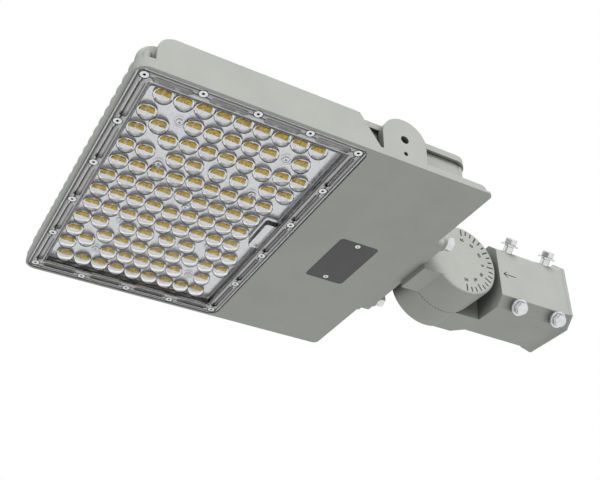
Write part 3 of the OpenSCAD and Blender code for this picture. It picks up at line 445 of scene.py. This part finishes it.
def brushed_can():
    """The driver's metal can, brushed along Y."""
    made, tree, shader, place = material("driver_can")
    stretched = node(tree, "Mapping", {"Vector": place, "Scale": (1.0, 0.04, 1.0)})
    lines = noise(tree, stretched.outputs["Vector"], scale=2600, detail=2.0)
    rounded = soft_edges(tree, 0.5 * MM)
    shader.inputs["Metallic"].default_value = 1.0
    finish(tree, shader, ramp(tree, lines, *DRIVER_CAN, *MIDDLE),
           span(tree, lines, 0.28, 0.45, *MIDDLE),
           bump(tree, lines, depth=0.02 * MM, strength=0.3, normal=rounded))
    return made


def ink():
    """Painted shade: the dark fill of the dial's numbers and of the engraved marks."""
    made, tree, shader, place = material("engraving_shade_fill")
    grain = noise(tree, place, scale=1600)
    finish(tree, shader, ramp(tree, grain, *ENGRAVING_SHADE_GREYS, start=0.35, end=0.7),
           span(tree, grain, low=0.55, high=0.75), bump(tree, grain, depth=0.04 * MM, strength=0.4))
    return made


def dress(coat, *nodes):
    """Gives CAD nodes one material."""
    for name in nodes:
        mesh = frame["nodes"][name].data
        mesh.materials.clear()
        mesh.materials.append(coat)


def dress_nodes():
    """Every CAD node's material."""
    dress(cast_paint(), "heatsink_housing", "driver_lid", "knuckle_arm", "slip_fitter")
    dress(dark_paint(), "access_cover")
    dress(bright_steel(), "lid_screws", "lens_screws", "board_screws", "driver_screws",
          "access_screws", "arm_bolts", "arm_washers", "arm_spring_washers", "pivot_bolt",
          "pivot_washer", "pivot_spring_washer", "set_bolt_1", "set_bolt_2", "set_bolt_3",
          "set_bolt_4")
    plate = [vertex.co for vertex in frame["nodes"]["lens_plate"].data.vertices]
    low, high = (Vector(pick(point[axis] for point in plate) for axis in range(3))
                 for pick in (min, max))
    dress(clear_cover(low, high), "lens_plate")
    dress(solder_mask(), "led_board")
    dress(phosphor(), "led_chips")
    dress(rubber(), "lid_gasket", "lens_gasket", "access_gasket", "arm_gasket", "lead_grommet",
          "supply_grommet")
    dress(moulded("white_nylon", NYLON), "board_connector", "terminal_block")
    dress(moulded("surge_case", SURGE_CASE), "surge_protector")
    dress(moulded("lead_sleeve", LEAD_SLEEVE), "led_leads")
    dress(brushed_can(), "led_driver")


def place_in_scene(name, data):
    """A new object in the scene."""
    made = bpy.data.objects.new(name, data)
    bpy.context.scene.collection.objects.link(made)
    return made


def outwards(angle):
    """The direction at an angle from +X towards +Z."""
    return Vector((math.cos(angle), 0.0, math.sin(angle)))


def dial_number(text, angle, pivot, coat):
    """One number on the dial in the dark painted shade fill, DIAL_RAISE proud of its face, its top
    away from the pivot.
    """
    curve = bpy.data.curves.new(f"dial_number_{text}", "FONT")
    curve.body = text
    curve.size = DIAL_NUMBER_SIZE
    curve.align_x, curve.align_y = "CENTER", "CENTER"
    curve.extrude = DIAL_RAISE
    curve.offset = DIAL_STROKE
    curve.materials.append(coat)
    piece = place_in_scene(f"dial_number_{round(math.degrees(angle))}", curve)
    piece.location = Vector((pivot.x, NEAR_FACE, pivot.z)) + outwards(angle) * DIAL_NUMBER_R
    piece.rotation_euler = (math.radians(90), math.radians(90) - angle, 0.0)
    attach(piece, "head")


def inked_lines(name, body, lines, width, coat):
    """Painted shade: a dark fill in engraved lines of the near face; a line is its start, its
    length and its angle.
    """
    points, faces = [], []
    for start, length, angle in lines:
        along = outwards(angle)
        across = Vector((-along.z, 0.0, along.x)) * width / 2
        corners = (start - across, start + across, start + along * length + across,
                   start + along * length - across)
        faces += [[len(points) + corner for corner in side] for side in BOX_FACES]
        for y in (NEAR_FACE + GROOVE - SHADE_FILL_DEPTH, NEAR_FACE + GROOVE):
            points += [(corner.x, y, corner.z) for corner in corners]
    mesh = bpy.data.meshes.new(name)
    mesh.from_pydata(points, [], faces)
    mesh.materials.append(coat)
    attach(place_in_scene(name, mesh), body)


def markings():
    """The dial's numbers from 90 over 0 to 90, and the dark fill in its ticks and in the tube's
    arrow, all painted shade.
    """
    coat = ink()
    tilt = next(joint for joint in frame["joints"] if joint["name"] == "knuckle_tilt")
    pivot = Vector(tilt["pos_m"])
    for step, number in enumerate(DIAL_NUMBERS):
        dial_number(str(number), math.radians(DIAL_TOP - step * DIAL_STEP), pivot, coat)
    ticks = []
    for step in range(TICKS + 1):
        angle = math.radians(DIAL_TOP - step * TICK_STEP)
        length = TICK_SHORT if step % TICK_LONG_EVERY else TICK_LONG
        ticks.append((pivot + outwards(angle) * (TICK_OUT_R - length), length, angle))
    inked_lines("dial_ticks", "head", ticks, TICK_WIDTH, coat)
    arrow = [(ARROW_TIP, ARROW_LENGTH, 0.0)]
    arrow += [(ARROW_TIP, ARROW_BARB, math.radians(side * ARROW_ANGLE)) for side in (-1, 1)]
    inked_lines("arrow_shade_fill", "slip_fitter", arrow, ARROW_WIDTH, coat)


def sky(tree, strength):
    """A white sky of one strength."""
    return node(tree, "Background", {"Color": WHITE, "Strength": strength}).outputs["Background"]


def lights():
    """An even sky, dim on the object, brighter in gloss and white to the eye, and one soft lamp."""
    world = bpy.data.worlds.new("studio")
    bpy.context.scene.world = world
    world.use_nodes = True
    tree = world.node_tree
    tree.nodes.clear()
    path = node(tree, "LightPath", {}).outputs
    around = mixed(tree, path["Is Glossy Ray"], sky(tree, SKY), sky(tree, SKY_IN_GLOSS))
    seen = math_node(tree, "MAXIMUM", path["Is Camera Ray"], path["Is Transmission Ray"])
    node(tree, "OutputWorld", {"Surface": mixed(tree, seen, around, sky(tree, SKY_SEEN))})
    lamp = bpy.data.lights.new("key", "SUN")
    lamp.energy = KEY_ENERGY
    lamp.angle = math.radians(KEY_ANGLE)
    key = place_in_scene("key", lamp)
    key.rotation_euler = KEY_TRAVEL.to_track_quat("-Z", "Y").to_euler()
    key.visible_glossy = False


def floor():
    """A plain floor below every pose: white to the eye but for shadows, and in gloss and glass."""
    made, tree, shader, place = material("floor")
    pale = ramp(tree, noise(tree, place, scale=3.0), FLOOR_LOW, FLOOR_HIGH)
    tree.links.new(pale, shader.inputs["Base Color"])
    shader.inputs["Roughness"].default_value = FLOOR_ROUGHNESS
    path = node(tree, "LightPath", {}).outputs
    lift = node(tree, "Emission", {"Strength": span(tree, path["Is Camera Ray"], 0.0, FLOOR_LIFT)})
    lifted = node(tree, "AddShader", {0: shader.outputs["BSDF"], 1: lift.outputs["Emission"]})
    strength = span(tree, path["Is Glossy Ray"], SKY_SEEN, SKY_IN_GLOSS)
    white = node(tree, "Emission", {"Color": WHITE, "Strength": strength})
    beyond = math_node(tree, "MAXIMUM", path["Is Transmission Ray"], path["Is Glossy Ray"])
    show(tree, mixed(tree, beyond, lifted.outputs["Shader"], white.outputs["Emission"]))
    bpy.ops.mesh.primitive_plane_add(size=FLOOR_SIZE, location=FLOOR_PLACE)
    plane = bpy.context.object
    plane.name = "floor"
    plane.data.materials.append(made)


def camera():
    """The photograph's viewpoint and lens."""
    data = bpy.data.cameras.new("camera")
    data.sensor_width = SENSOR
    data.lens = SENSOR * FOCAL_PIXELS / PICTURE_WIDTH
    data.clip_start, data.clip_end = CLIP_START, CLIP_END
    eye = place_in_scene("camera", data)
    eye.location = CAMERA_PLACE
    eye.rotation_euler = CAMERA_AIM.to_track_quat("-Z", "Y").to_euler()
    bpy.context.scene.camera = eye


camera()
dress_nodes()
markings()
lights()
floor()
bpy.context.scene.view_settings.view_transform = "Standard"
